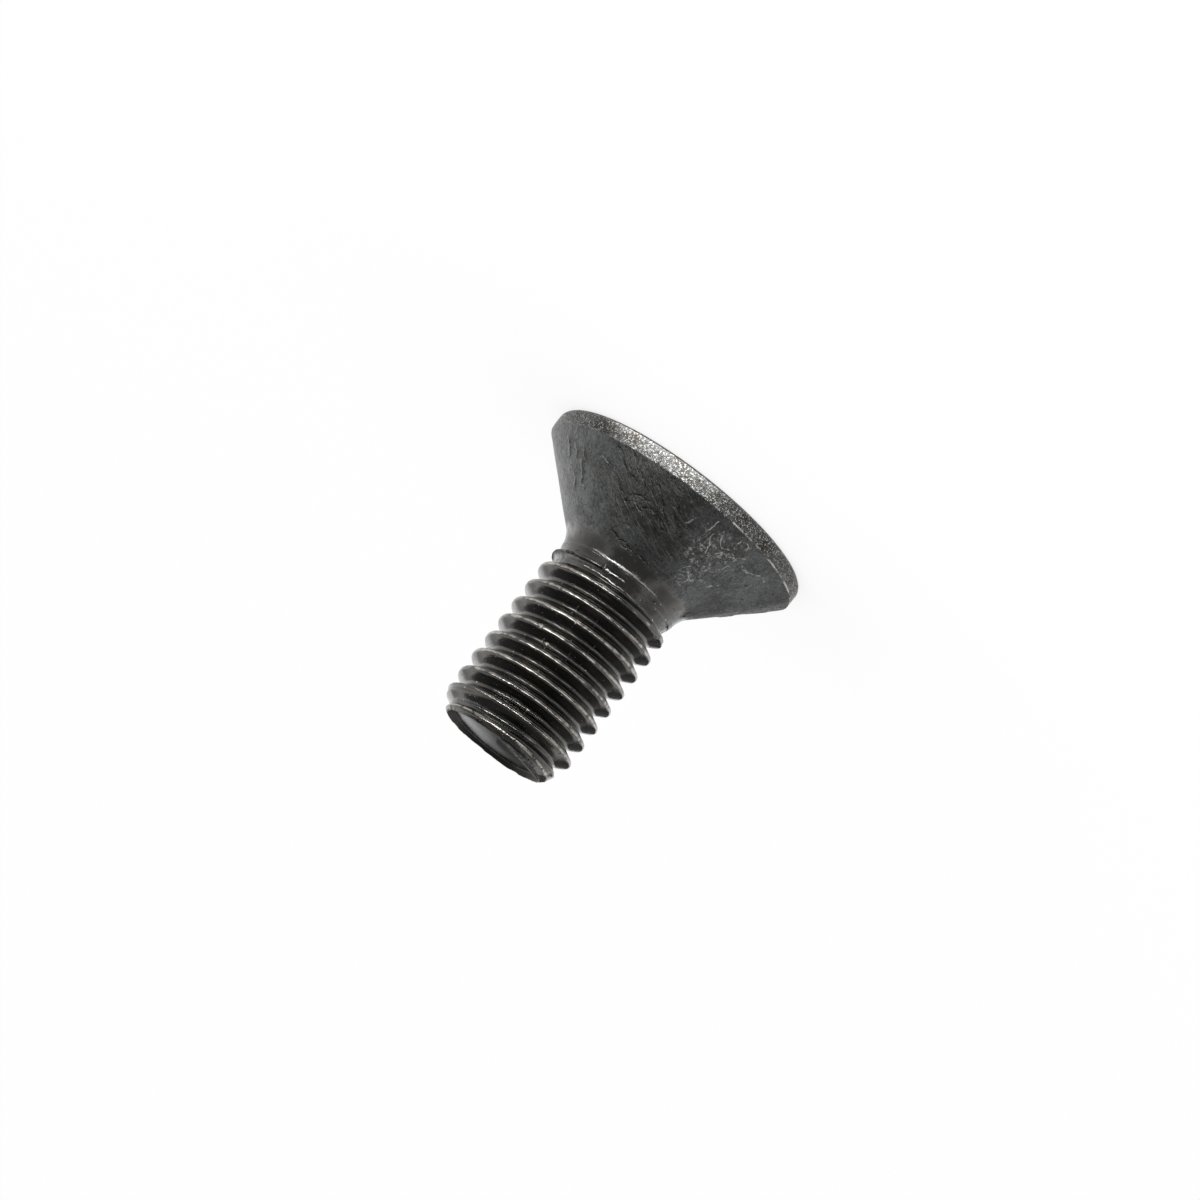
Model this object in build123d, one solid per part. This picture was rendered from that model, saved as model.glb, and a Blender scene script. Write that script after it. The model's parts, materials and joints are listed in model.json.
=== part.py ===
from build123d import *
import math
import os

# Countersunk hex-socket screw, M10 x 1.5, forged and thread-rolled in one piece.
# It stands on the flat face of its head: z = 0 is that face, and +Z runs along
# the axis to the tip. All sizes are in millimetres and degrees.

# Driving sizes
overall_length = 21.2       # head face to tip
nominal_dia = 10.0          # thread size
crest_allowance = 0.15      # rolled crests end this much under the nominal diameter
pitch = 1.5
flank_angle = 60.0          # full angle between the flanks of one groove
neck_reduction = 0.8        # plain neck under the nominal diameter
neck_land = 0.1             # straight neck between its hollow and the thread
start_ramp_angle = 15.0     # slope from the neck up to the crests of the first turns
runout_length = 2.7         # stretch in which the groove reaches its full depth
first_crest_rise = 1.74     # a crest crosses the +X side this far above the thread's start

head_dia = 19.9
seat_angle = 90.0           # full angle of the countersunk seat
rim_height = 1.32           # band between the head face and the seat
rim_round = 0.5             # rounding between the head face and the band
neck_hollow = 2.4           # radius of the hollow between the seat and the neck

tip_dia = 8.0               # small end of the tip chamfer
tip_chamfer_length = 1.4
dish_dia = 7.0              # hollow that rolling leaves in the end face
dish_depth = 0.35

socket_across_flats = 6.0
socket_depth = 4.4          # depth of the six flats
socket_point_depth = 0.8    # shallow cone below the flats
mouth_margin = 0.1          # mouth countersink beyond the hexagon's corners, on the radius
mouth_angle = 120.0

section_points = 96         # points on the thread's cross-section
overrun = 0.4               # cutting shapes reach this far past what they trim

# Sizes that follow from them
half_flank = math.radians(flank_angle / 2)
sharp_height = pitch / 2 / math.tan(half_flank)
crest_r = (nominal_dia - crest_allowance) / 2
root_r = nominal_dia / 2 - sharp_height * 17 / 24
root_round = sharp_height / 6
inner_apex_r = root_r - root_round * (1 / math.sin(half_flank) - 1)
outer_apex_r = inner_apex_r + sharp_height
crest_round = (outer_apex_r - crest_r) / (1 / math.sin(half_flank) - 1)
neck_r = (nominal_dia - neck_reduction) / 2
head_r = head_dia / 2
tip_r = tip_dia / 2
seat_end_z = rim_height + (head_r - neck_r) / math.tan(math.radians(seat_angle / 2))
hollow_length = neck_hollow * math.tan(math.radians(seat_angle / 4))
thread_start_z = seat_end_z + hollow_length + neck_land


def thread_radius(offset):
    """Radius of the thread's surface at an axial offset from the middle of a groove."""
    offset = abs(offset)
    from_crest = pitch / 2 - offset
    if offset < root_round * math.cos(half_flank):
        return root_r + root_round - math.sqrt(root_round ** 2 - offset ** 2)
    if from_crest < crest_round * math.cos(half_flank):
        return crest_r - crest_round + math.sqrt(crest_round ** 2 - from_crest ** 2)
    return inner_apex_r + offset / math.tan(half_flank)


def thread_section():
    """Cross-section of the thread: one turn of its profile, bent round the axis.

    A crest points along +X."""
    points = []
    for i in range(section_points):
        share = i / section_points
        radius = thread_radius((share - 0.5) * pitch)
        points.append(Vector(radius, 0).rotate(Axis.Z, 360 * share))
    return make_face(Spline(*points, periodic=True))


def thread_turns():
    """Right-hand thread as a stack of turns, each the cross-section drawn up one pitch
    while it turns once, trimmed to the screw's own limits."""
    start_z = thread_start_z - overrun
    turns_past_crest = (start_z - thread_start_z - first_crest_rise) / pitch
    section = Rot(0, 0, 360 * turns_past_crest) * thread_section()
    turn = Solid.extrude_linear_with_rotation(section.face(), (0, 0, 0), (0, 0, pitch), 360)
    count = math.ceil((overall_length - start_z) / pitch)
    limits = thread_limits()
    return [Pos(0, 0, start_z + i * pitch) * turn & limits for i in range(count)]


def thread_limits():
    """Turned shape that the thread is trimmed to: rising first turns and a chamfered tip."""
    outside_r = crest_r + overrun
    ramp_end_z = thread_start_z + (outside_r - neck_r) / math.tan(math.radians(start_ramp_angle))
    chamfer_slope = tip_chamfer_length / (crest_r - tip_r)
    chamfer_z = overall_length - (outside_r - tip_r) * chamfer_slope
    outline = Polyline(
        (0, thread_start_z - overrun),
        (root_r, thread_start_z - overrun),
        (neck_r, thread_start_z),
        (outside_r, ramp_end_z),
        (outside_r, chamfer_z),
        (tip_r, overall_length),
        (0, overall_length),
        close=True,
    )
    return revolve(Plane.XZ * make_face(outline), Axis.Z)


def head_and_neck():
    """Head, seat and neck, with the cone that fills the groove where it runs out."""
    inside_r = root_r - overrun
    cone_end_z = thread_start_z + runout_length * (neck_r - inside_r) / (neck_r - root_r)
    outline = Polyline(
        (0, 0),
        (head_r, 0),
        (head_r, rim_height),
        (neck_r, seat_end_z),
        (neck_r, thread_start_z),
        (inside_r, cone_end_z),
        (0, cone_end_z),
        close=True,
    )
    profile = make_face(outline)
    head_edge = profile.vertices().sort_by_distance((head_r, 0, 0))[0]
    profile = fillet(head_edge, rim_round)
    neck_corner = profile.vertices().sort_by_distance((neck_r, seat_end_z, 0))[0]
    profile = fillet(neck_corner, neck_hollow)
    return revolve(Plane.XZ * profile, Axis.Z)


def hex_socket():
    """Recess for a hex key: countersunk mouth, six flats and a conical bottom."""
    flat_r = socket_across_flats / 2
    mouth_r = flat_r / math.cos(math.radians(30)) + mouth_margin
    mouth_depth = (mouth_r - flat_r) / math.tan(math.radians(mouth_angle / 2))
    flats = extrude(RegularPolygon(flat_r, 6, major_radius=False), socket_depth)
    mouth = Pos(0, 0, mouth_depth / 2) * Cone(mouth_r, flat_r, mouth_depth)
    point = Pos(0, 0, socket_depth + socket_point_depth / 2) * Cone(flat_r, 0, socket_point_depth)
    return flats + mouth + point


def end_dish():
    """Shallow round hollow in the end face."""
    sphere_r = ((dish_dia / 2) ** 2 + dish_depth ** 2) / (2 * dish_depth)
    return Pos(0, 0, overall_length - dish_depth + sphere_r) * Sphere(sphere_r)


screw = head_and_neck() + thread_turns() - hex_socket() - end_dish()

os.makedirs("parts", exist_ok=True)
export_step(screw, "parts/countersunk_screw.step")
print("screw volume", round(screw.volume, 1), "mm3, crest rounding", round(crest_round, 3), "mm")
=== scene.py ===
# %% [markdown]
# # A countersunk hex-socket screw, black and oiled
#
# The real thing is one piece of steel. A length of wire is headed in a press, which makes
# the cone, the rim and the socket, and its thread is then rolled between two dies. It ends
# black-oxidised and dipped in oil. We build it as one closed mesh, because nothing on it
# comes apart, and give each region the finish that its own step of the work leaves.
#
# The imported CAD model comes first. Every size below is taken from it where it has one.

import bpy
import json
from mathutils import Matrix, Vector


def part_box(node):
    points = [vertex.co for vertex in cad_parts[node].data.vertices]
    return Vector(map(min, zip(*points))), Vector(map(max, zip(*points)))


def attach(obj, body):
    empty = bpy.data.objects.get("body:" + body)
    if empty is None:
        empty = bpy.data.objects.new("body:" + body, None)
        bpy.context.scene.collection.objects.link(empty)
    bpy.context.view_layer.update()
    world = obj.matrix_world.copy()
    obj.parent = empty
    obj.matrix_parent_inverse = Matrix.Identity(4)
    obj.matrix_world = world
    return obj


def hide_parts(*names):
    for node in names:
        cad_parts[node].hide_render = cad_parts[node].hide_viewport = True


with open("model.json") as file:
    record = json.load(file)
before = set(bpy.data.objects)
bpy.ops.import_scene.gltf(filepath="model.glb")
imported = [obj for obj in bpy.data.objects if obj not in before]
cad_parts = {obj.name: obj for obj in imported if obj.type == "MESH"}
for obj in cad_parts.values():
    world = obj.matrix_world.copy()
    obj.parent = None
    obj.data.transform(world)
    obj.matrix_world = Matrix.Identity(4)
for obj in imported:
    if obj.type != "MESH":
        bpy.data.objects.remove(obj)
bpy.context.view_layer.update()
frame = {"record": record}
node_low, node_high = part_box("countersunk_screw")
mounts = {mount["name"]: mount for mount in frame["record"]["mounts"]}

# %% [markdown]
# ## Sizes
#
# A screw is easiest to think about in millimetres, so we model in millimetres and shrink
# the finished mesh to metres once. The thread's start and radius, the seat, the socket and
# the length come from the record's mounts. The rest is what a maker would read off the
# standard for this thread: its pitch, its root and crest roundings, and the small edges.

# %% Sizes in millimetres
import json
import math

import bmesh
import bpy
import numpy as np
from mathutils import Matrix, Vector, noise

MM = 0.001

length = (node_high.z - node_low.z) / MM
head_r = node_high.x / MM
seat = mounts["countersunk_seat"]
rim_height = seat["pos_m"][2] / MM - seat["dims"]["length_mm"] / 2
seat_end = seat["pos_m"][2] / MM + seat["dims"]["length_mm"] / 2
neck_r = head_r - seat["dims"]["length_mm"]
crest_r = mounts["thread"]["dims"]["r_mm"]
thread_start = length - mounts["thread"]["dims"]["length_mm"]
socket_flat_r = mounts["hex_socket"]["dims"]["r_mm"]
socket_depth = mounts["hex_socket"]["dims"]["length_mm"]

nominal_r = 5.0
pitch = 1.5
half_flank = math.radians(30)
sharp_height = pitch / 2 / math.tan(half_flank)
root_r = nominal_r - sharp_height * 17 / 24
root_round = sharp_height / 6
sharp_root_r = root_r - root_round * (1 / math.sin(half_flank) - 1)
sharp_crest_r = sharp_root_r + sharp_height
crest_round = (sharp_crest_r - crest_r) / (1 / math.sin(half_flank) - 1)
first_crest_rise = 1.74
first_crest = thread_start + first_crest_rise    # height of a crest on the +X side

print("screw", round(length, 2), "long, crest rounding", round(crest_round, 3))

# %% [markdown]
# ## Drawing an outline
#
# Everything turned or rolled starts as a flat outline. Two small helpers draw it point by
# point in the XZ plane: a straight stretch is one point extruded in equal steps, and a rounding
# is one point spun about the centre of the arc. The rows matter, because they are what the dents
# and forging marks are pressed into later.

# %% Outline helpers
FRONT = (0, 1, 0)                      # the outline lies in the XZ plane, so arcs turn about Y
AXIS = (0, 0, 1)


def line_to(bm, last, radius, height, rows=1):
    """A straight stretch from the last point, in rows of equal length."""
    step = (Vector((radius, 0, height)) - last.co) / rows
    for _ in range(rows):
        last = bmesh.ops.extrude_vert_indiv(bm, verts=[last])["verts"][0]
        bmesh.ops.translate(bm, verts=[last], vec=step)
    return last


def arc_to(bm, last, radius, height, degrees, rows):
    """An arc from the last point about (radius, height)."""
    made = bmesh.ops.spin(bm, geom=[last], cent=(radius, 0, height), axis=FRONT,
                          angle=math.radians(degrees), steps=rows)
    return made["geom_last"][0]


# %% [markdown]
# ## The rolled thread
#
# The thread is the outline of one tooth, from the middle of a groove to the middle of the
# next, swept along a helix. Spin makes one turn: each step turns the outline a little and
# lifts it a little, so that after a full turn it is one pitch up. Copies of that turn are
# then stacked a pitch apart, and their seams merge. A helix made this way follows the real
# tooth, with fine rows across crest and root, where the light catches, and few down the
# flanks.

# %% Tooth outline and helix
THREAD_SEGMENTS = 192
turns_below = 2                        # the helix starts below the thread, and is cut off flat
turns = math.ceil((length - first_crest) / pitch) + turns_below + 2


def tooth_outline(bm, height):
    """One tooth, its crest at this height, drawn upwards."""
    flank_z = root_round * math.cos(half_flank)
    crest_z = crest_round * math.cos(half_flank)
    crest_side_r = crest_r - crest_round * (1 - math.sin(half_flank))
    root_side_r = root_r + root_round * (1 - math.sin(half_flank))
    low, high = height - pitch / 2, height + pitch / 2
    point = bm.verts.new((root_r, 0, low))
    point = arc_to(bm, point, root_r + root_round, low, 60, 4)
    point = line_to(bm, point, crest_side_r, height - crest_z, 4)
    point = arc_to(bm, point, crest_r - crest_round, height, -120, 10)
    point = line_to(bm, point, root_side_r, high - flank_z, 4)
    arc_to(bm, point, root_r + root_round, high, 60, 4)


thread = bmesh.new()
tooth_outline(thread, first_crest - turns_below * pitch)
bmesh.ops.remove_doubles(thread, verts=thread.verts[:], dist=0.001)
bmesh.ops.spin(thread, geom=thread.verts[:] + thread.edges[:], cent=(0, 0, 0), axis=AXIS,
               angle=math.tau, steps=THREAD_SEGMENTS, dvec=(0, 0, pitch / THREAD_SEGMENTS))
one_turn = thread.verts[:] + thread.edges[:] + thread.faces[:]
for turn in range(1, turns):
    copied = bmesh.ops.duplicate(thread, geom=one_turn)["geom"]
    copied_points = [g for g in copied if isinstance(g, bmesh.types.BMVert)]
    bmesh.ops.translate(thread, verts=copied_points, vec=(0, 0, turn * pitch))
bmesh.ops.remove_doubles(thread, verts=thread.verts[:], dist=0.004)
print("helix:", turns, "turns,", len(thread.faces), "faces")

# %% [markdown]
# ## Where the thread begins and ends
#
# The helix is cut flat at the neck and at the tip with a bisect. A rolled thread doesn't
# stop dead, though. Next to the neck its first crests are still low and its groove is shallow,
# and towards the tip its crests sink, and it fades and ends at a small chamfer. So every point
# is moved in or out: the first crests stay under a rising limit, the groove over a falling
# cone, the last crests under a falling limit, the last turn is made lower and lower, and
# nothing may pass the chamfer.

# %% Cut and trim
runout_slope = 0.34                            # how fast the groove deepens
RISES = (0, 0.21, 0.31, 0.95, 1.45)            # heights above the thread's start
CREST_STEPS = (0, -0.08, 0.17, 0.22, 0.36)     # how far a crest may stand out of the neck there
LAST_HEIGHTS = (1.45, 1.2, 0.9, 0)             # heights below the tip
LAST_CRESTS = (4.95, 4.74, 4.68, 4.5)          # the crests' radius there
fade_length, fade_share = 0.9, 0.8             # the last stretch gets lower, by this share
tip_r = 4.0
chamfer_slope = 1.2
groove_blend, crest_blend, chamfer_blend = 0.2, 0.06, 0.03    # roundings where limits cut in


def keep_upper(bm, height):
    bmesh.ops.bisect_plane(bm, geom=bm.verts[:] + bm.edges[:] + bm.faces[:], dist=1e-4,
                           plane_co=(0, 0, height), plane_no=AXIS, clear_inner=True)


def keep_lower(bm, height):
    bmesh.ops.bisect_plane(bm, geom=bm.verts[:] + bm.edges[:] + bm.faces[:], dist=1e-4,
                           plane_co=(0, 0, height), plane_no=AXIS, clear_outer=True)


def smaller(a, b, rounding):
    """The smaller of two radii, rounded off where they are nearly equal."""
    near = max(rounding - abs(a - b), 0) / rounding
    return min(a, b) - near * near * rounding / 4


def larger(a, b, rounding):
    return -smaller(-a, -b, rounding)


def trimmed_radius(radius, height):
    rise = height - thread_start
    groove_limit = neck_r - rise * runout_slope
    crest_limit = neck_r + float(np.interp(rise, RISES, CREST_STEPS))
    last_limit = float(np.interp(height, length - np.array(LAST_HEIGHTS), LAST_CRESTS))
    radius = larger(radius, groove_limit, groove_blend)
    radius = smaller(radius, crest_limit, crest_blend)
    radius = smaller(radius, last_limit, crest_blend)
    fading = min(max((height - length) / fade_length + 1, 0), 1) ** 0.6
    radius = root_r + (radius - root_r) * (1 - fade_share * fading)
    chamfer_limit = tip_r + max(length - height, 0) * chamfer_slope
    return smaller(radius, chamfer_limit, chamfer_blend)


keep_upper(thread, thread_start)
keep_lower(thread, length)
for point in thread.verts:
    radius = math.hypot(point.co.x, point.co.y)
    new_radius = trimmed_radius(radius, point.co.z)
    point.co.x *= new_radius / radius
    point.co.y *= new_radius / radius
print("thread:", len(thread.faces), "faces from", round(thread_start, 2), "to", round(length, 2))

# %% [markdown]
# ## Tidy cut edges
#
# The bisect leaves an odd point on the cut wherever it crosses the helix. We only want one
# point on each of the thread's straight columns, so that the open edge can be joined evenly
# to the head and to the tip, and the odd points are dissolved.

# %% Dissolve the odd points
def open_edges(bm, height):
    """The edges of the hole at this height."""
    return [e for e in bm.edges if e.is_boundary
            and all(abs(v.co.z - height) < 0.02 for v in e.verts)]


def on_column(point):
    share = math.atan2(point.co.y, point.co.x) / math.tau * THREAD_SEGMENTS
    return abs(share - round(share)) < 0.001


for height in (thread_start, length):
    rim = {v for e in open_edges(thread, height) for v in e.verts}
    odd = [v for v in rim if not on_column(v)]
    bmesh.ops.dissolve_verts(thread, verts=odd)
    print("open edge at", round(height, 2), "has", len(open_edges(thread, height)), "points")

# %% [markdown]
# ## The forged head
#
# The head is round all over, so its outline is drawn once and spun about the axis: the flat
# face, the rounded lower edge, the rim, the cone of the seat and the hollow that leads into
# the neck. A forging has no knife edges, so the corner between rim and cone gets a small arc
# too. Twice as many columns as the thread gives the seat rows and columns of about a tenth of
# a millimetre, enough to press its wrinkles into.

# %% Head outline, spun
HEAD_SEGMENTS = 2 * THREAD_SEGMENTS
rim_round = 0.5
corner_round = 0.09
neck_hollow = 2.4
joint_gap = 0.03                       # bridged later, where head and thread meet
mouth_margin = 0.1
mouth_r = socket_flat_r / math.cos(math.radians(30)) + mouth_margin

corner_reach = corner_round * math.tan(math.radians(22.5))
hollow_reach = neck_hollow * math.tan(math.radians(22.5))
slant = math.sin(math.radians(45))


def head_outline(bm):
    """From the mouth of the socket round the head to the neck."""
    point = bm.verts.new((mouth_r, 0, 0))
    point = line_to(bm, point, head_r - rim_round, 0, 8)
    point = arc_to(bm, point, head_r - rim_round, rim_round, -90, 6)
    point = line_to(bm, point, head_r, rim_height - corner_reach, 8)
    point = arc_to(bm, point, head_r - corner_round, rim_height - corner_reach, -45, 3)
    point = line_to(bm, point, neck_r + hollow_reach * slant, seat_end - hollow_reach * slant, 56)
    point = arc_to(bm, point, neck_r + neck_hollow, seat_end + hollow_reach, 45, 14)
    return line_to(bm, point, neck_r, thread_start - joint_gap)


head = bmesh.new()
head_outline(head)
bmesh.ops.spin(head, geom=head.verts[:] + head.edges[:], cent=(0, 0, 0), axis=AXIS,
               angle=math.tau, steps=HEAD_SEGMENTS, use_merge=True)
print("head:", len(head.faces), "faces")

# %% [markdown]
# ## The hex socket
#
# The punch leaves a hexagon, and its mouth is a shallow cone, so the mouth ends in six
# scallops. Both can be drawn with the same ring of points: extrude the open edge inwards and
# move each new point to where the next surface starts. A point's distance from the axis on a
# hexagon is its flat's distance divided by the cosine of the angle from the flat's middle.

# %% Socket by extruded rings
mouth_slope = math.tan(math.radians(60))
socket_point_depth = 0.8
socket_end = socket_depth + socket_point_depth


def next_ring(bm, ring, place):
    """Extrudes an open ring of edges and moves each new point to place(angle) = (radius, z)."""
    made = bmesh.ops.extrude_edge_only(bm, edges=ring)["geom"]
    for point in (g for g in made if isinstance(g, bmesh.types.BMVert)):
        angle = math.atan2(point.co.y, point.co.x)
        radius, height = place(angle)
        point.co = Vector((radius * math.cos(angle), radius * math.sin(angle), height))
    return [g for g in made if isinstance(g, bmesh.types.BMEdge) and g.is_boundary]


def close_ring(bm, ring, height):
    """Closes a small ring of edges with a point on the axis."""
    made = bmesh.ops.extrude_edge_only(bm, edges=ring)["geom"]
    points = [g for g in made if isinstance(g, bmesh.types.BMVert)]
    bmesh.ops.pointmerge(bm, verts=points, merge_co=(0, 0, height))


def hexagon_r(angle):
    from_flat = angle % math.radians(60) - math.radians(30)
    return socket_flat_r / math.cos(from_flat)


ring = open_edges(head, 0)
ring = next_ring(head, ring, lambda a: (hexagon_r(a), (mouth_r - hexagon_r(a)) / mouth_slope))
for share in (0.4, 0.7, 0.9, 1.0):
    ring = next_ring(head, ring, lambda a: (hexagon_r(a), socket_depth * share))
for share in (0.97, 0.75, 0.5, 0.25):
    ring = next_ring(head, ring, lambda a: (socket_flat_r * share,
                                            socket_end - socket_point_depth * share))
close_ring(head, ring, socket_end)
print("socket closed, open edges left:", sum(e.is_boundary for e in head.edges))

# %% [markdown]
# ## The rolled-over tip
#
# Rolling squeezes metal past the end of the blank, so the end face is left as a hollow inside
# a lip. The lip is sharp nearly all round, and wide on one side, where the hollow is cut off
# by a straight chord. So the hollow's edge is worked out for each angle, and every ring of
# the lip and the hollow follows it.

# %% Lip and hollow
wide_side = math.radians(-136)         # the lip is widest here
hollow_r, chord = 3.84, 2.54           # the chord's distance from the axis
lip_edge = 0.03                        # the first step in and up from the thread's end
LIP_ROWS = 16
FOLD_SHARES = (0, 0.25, 0.38, 0.62, 0.78, 0.94, 1)          # from the outer edge to the hollow
FOLD_HEIGHTS = (0, 0.09, -0.02, 0.05, -0.06, 0.06, 0.03)
FLOOR_SHARES = (0.985, 0.965, 0.93, 0.84, 0.65, 0.45, 0.2)  # of the hollow's edge, inwards
FLOOR_DEPTHS = (0.10, 0.27, 0.38, 0.37, 0.27, 0.20, 0.145)
MIDDLE_DEPTH = 0.13


def hollow_edge_r(angle):
    """A circle, cut by a chord where the lip is wide."""
    straight = chord / max(math.cos(angle - wide_side), 0.3)
    return smaller(hollow_r, straight, 0.12)


def lip_place(angle, share):
    """A point on the lip's top, from its outer edge (0) to the hollow (1), with its folds."""
    outer_r = tip_r - lip_edge
    inner_r = hollow_edge_r(angle)
    wide = (outer_r - inner_r) / (outer_r - chord)
    fold = np.interp(share, FOLD_SHARES, FOLD_HEIGHTS)
    return outer_r + (inner_r - outer_r) * share, length + lip_edge + wide * float(fold)


ring = open_edges(thread, length)
for row in range(LIP_ROWS + 1):
    ring = next_ring(thread, ring, lambda a: lip_place(a, row / LIP_ROWS))
for share, depth in zip(FLOOR_SHARES, FLOOR_DEPTHS):
    ring = next_ring(thread, ring, lambda a: (hollow_edge_r(a) * share, length - depth))
close_ring(thread, ring, length - MIDDLE_DEPTH)
print("lip and hollow closed, open edges left:", sum(e.is_boundary for e in thread.edges))

# %% [markdown]
# ## One closed piece
#
# Head and thread are joined by bridging their open edges. The bridge is short, and lies on
# the plain neck, where one column of the thread meets two of the head. Then the doubles are
# merged and the normals are made to point outwards, in that order.

# %% Bridge and close
half_done = bpy.data.meshes.new("head_only")
head.to_mesh(half_done)
thread.from_mesh(half_done)
bpy.data.meshes.remove(half_done)
head.free()

open_edge = [e for e in thread.edges if e.is_boundary]
bmesh.ops.bridge_loops(thread, edges=open_edge)
bmesh.ops.remove_doubles(thread, verts=thread.verts[:], dist=0.0005)
bmesh.ops.recalc_face_normals(thread, faces=thread.faces[:])
print("open or shared edges left:", sum(not e.is_manifold for e in thread.edges),
      " volume", round(thread.calc_volume(), 1), "mm3")

# %% [markdown]
# ## From bmesh to object
#
# The closed mesh goes into an object at the origin, which stands for the CAD node. Its
# points are also kept as arrays, because the marks of use come next, and they are easier
# to reckon for all points at once.


# %% The screw as an object
def object_from(name, bm):
    """Puts a finished bmesh into a new object at the origin."""
    made = bpy.data.objects.new(name, bpy.data.meshes.new(name))
    bm.to_mesh(made.data)
    bm.free()
    bpy.context.scene.collection.objects.link(made)
    return made


screw = object_from("countersunk_screw_body", thread)
mesh = screw.data
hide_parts("countersunk_screw")

count = len(mesh.vertices)
points = np.empty(count * 3)
normals = np.empty(count * 3)
mesh.vertices.foreach_get("co", points)
mesh.vertex_normals.foreach_get("vector", normals)
points = points.reshape(-1, 3)
normals = normals.reshape(-1, 3)
x, y, z = points.T
from_axis = np.hypot(x, y)
push = np.zeros(count)
print("screw:", count, "points,", sum(len(p.vertices) - 2 for p in mesh.polygons), "triangles")

# %% [markdown]
# ## Sculpting in numbers
#
# So far the screw is too perfect. A real one has been squeezed, rolled, tumbled and dropped.
# Each of these marks is a small push along the surface's own normal. The pushes are added up
# as one number for each point, in millimetres, and made at the end in one move. A few
# helpers cover them: a soft switch between two values, smooth lumps of a chosen size, places
# on the seat and the thread, a dent, and a field. A field tells each point how far it is from
# the nearest of some lines drawn on the seat, and is kept in the mesh, so that the materials
# can draw the same lines far finer than the mesh's faces.


# %% Sculpting helpers
def smooth_switch(value, start, end):
    """0 before start, 1 after end, and smooth between them."""
    share = np.clip((value - start) / (end - start), 0, 1)
    return share * share * (3 - 2 * share)


def lumps(size, seed, where):
    """Smooth noise from -1 to 1 with lumps of this size, faded by a mask."""
    offset = Vector((seed * 7.1, seed * 3.3, seed * 5.7))
    values = np.zeros(count)
    for i in np.nonzero(where)[0]:
        values[i] = noise.noise(Vector(points[i]) / size + offset)
    return values * where


def on_surface(degrees, height, surface_r):
    """A point at an angle round the axis, counted from the -Y side towards +X."""
    turn = math.radians(degrees)
    return Vector((surface_r * math.sin(turn), -surface_r * math.cos(turn), height))


def on_seat(degrees, height):
    return on_surface(degrees, height, head_r + rim_height - height)


BACK_TURN = 190                        # the marks are found again behind, turned this far
FAR = 9.0                              # stands for no line near


def seat_field(lines, turn=0.0):
    """For every point, the gap to the nearest line on the seat, and on which side it lies.

    The seat is treated as unrolled: across is along the rim, and up is up the cone."""
    gap, side = np.full(count, FAR), np.full(count, FAR)
    around = np.degrees(np.arctan2(x, -y)) - turn
    for line in lines:
        for (start_a, start_h), (end_a, end_h) in zip(line, line[1:]):
            per_degree = math.radians(head_r + rim_height - (start_h + end_h) / 2)
            step_x, step_y = (end_a - start_a) * per_degree, (end_h - start_h) * math.sqrt(2)
            step = math.hypot(step_x, step_y)
            off_x = ((around - start_a + 180) % 360 - 180) * per_degree
            off_y = (z - start_h) * math.sqrt(2)
            share = np.clip((off_x * step_x + off_y * step_y) / step ** 2, 0, 1)
            new_gap = np.hypot(off_x - share * step_x, off_y - share * step_y)
            nearer = new_gap < gap
            gap = np.where(nearer, new_gap, gap)
            side = np.where(nearer, (off_x * step_y - off_y * step_x) / step, side)
    return gap, side


def keep_field(name, lines):
    """Stores a field in the mesh for the materials: x is the side, y the gap."""
    front_gap, front_side = seat_field(lines)
    back_gap, back_side = seat_field(lines, BACK_TURN)
    gap = np.minimum(front_gap, back_gap)
    side = np.where(front_gap < back_gap, front_side, back_side)
    gap[from_axis < neck_r - 0.5] = FAR
    layer = mesh.attributes.new(name, "FLOAT_VECTOR", "POINT")
    layer.data.foreach_set("vector", np.column_stack((side, gap, gap)).ravel())
    return gap


def on_thread(degrees, height):
    """The thread's own point nearest to this angle and height."""
    turned = (np.degrees(np.arctan2(x, -y)) - degrees + 180) % 360 - 180
    off = np.hypot(np.radians(turned) * root_r, z - height) + FAR * (from_axis < root_r - 0.3)
    return Vector(points[np.argmin(off)])


def press_dent(centre, width, lift):
    push[:] += lift * np.exp(-(np.linalg.norm(points - centre, axis=1) / width) ** 2)


# %% [markdown]
# ## Marks on the forged head
#
# A forged seat isn't turned, so it keeps the die's unevenness: broad shallow waves, raised
# laps like small worms, folds where the metal flowed over itself, and pale dried traces of
# salt. The rim is rougher still, because it formed free between the dies. The flat face
# stays flat, since the screw stands on it. A line is given by its points on the seat, as
# angle and height, and the same marks are found behind, turned by 190 degrees.

# %% Press the head's marks
seat_mask = smooth_switch(z, rim_height, rim_height + 0.3) * smooth_switch(-z, -7.4, -6.9)
seat_mask *= from_axis > neck_r - 0.05
rim_mask = smooth_switch(z, 0.04, 0.3) * smooth_switch(-z, -rim_height - 0.1, -rim_height + 0.05)
rim_mask *= from_axis > mouth_r + 1
push += 0.022 * lumps(1.7, 1, seat_mask) + 0.010 * lumps(0.5, 2, seat_mask)
push += 0.030 * lumps(1.1, 3, rim_mask) + 0.018 * lumps(0.3, 4, rim_mask)

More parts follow.
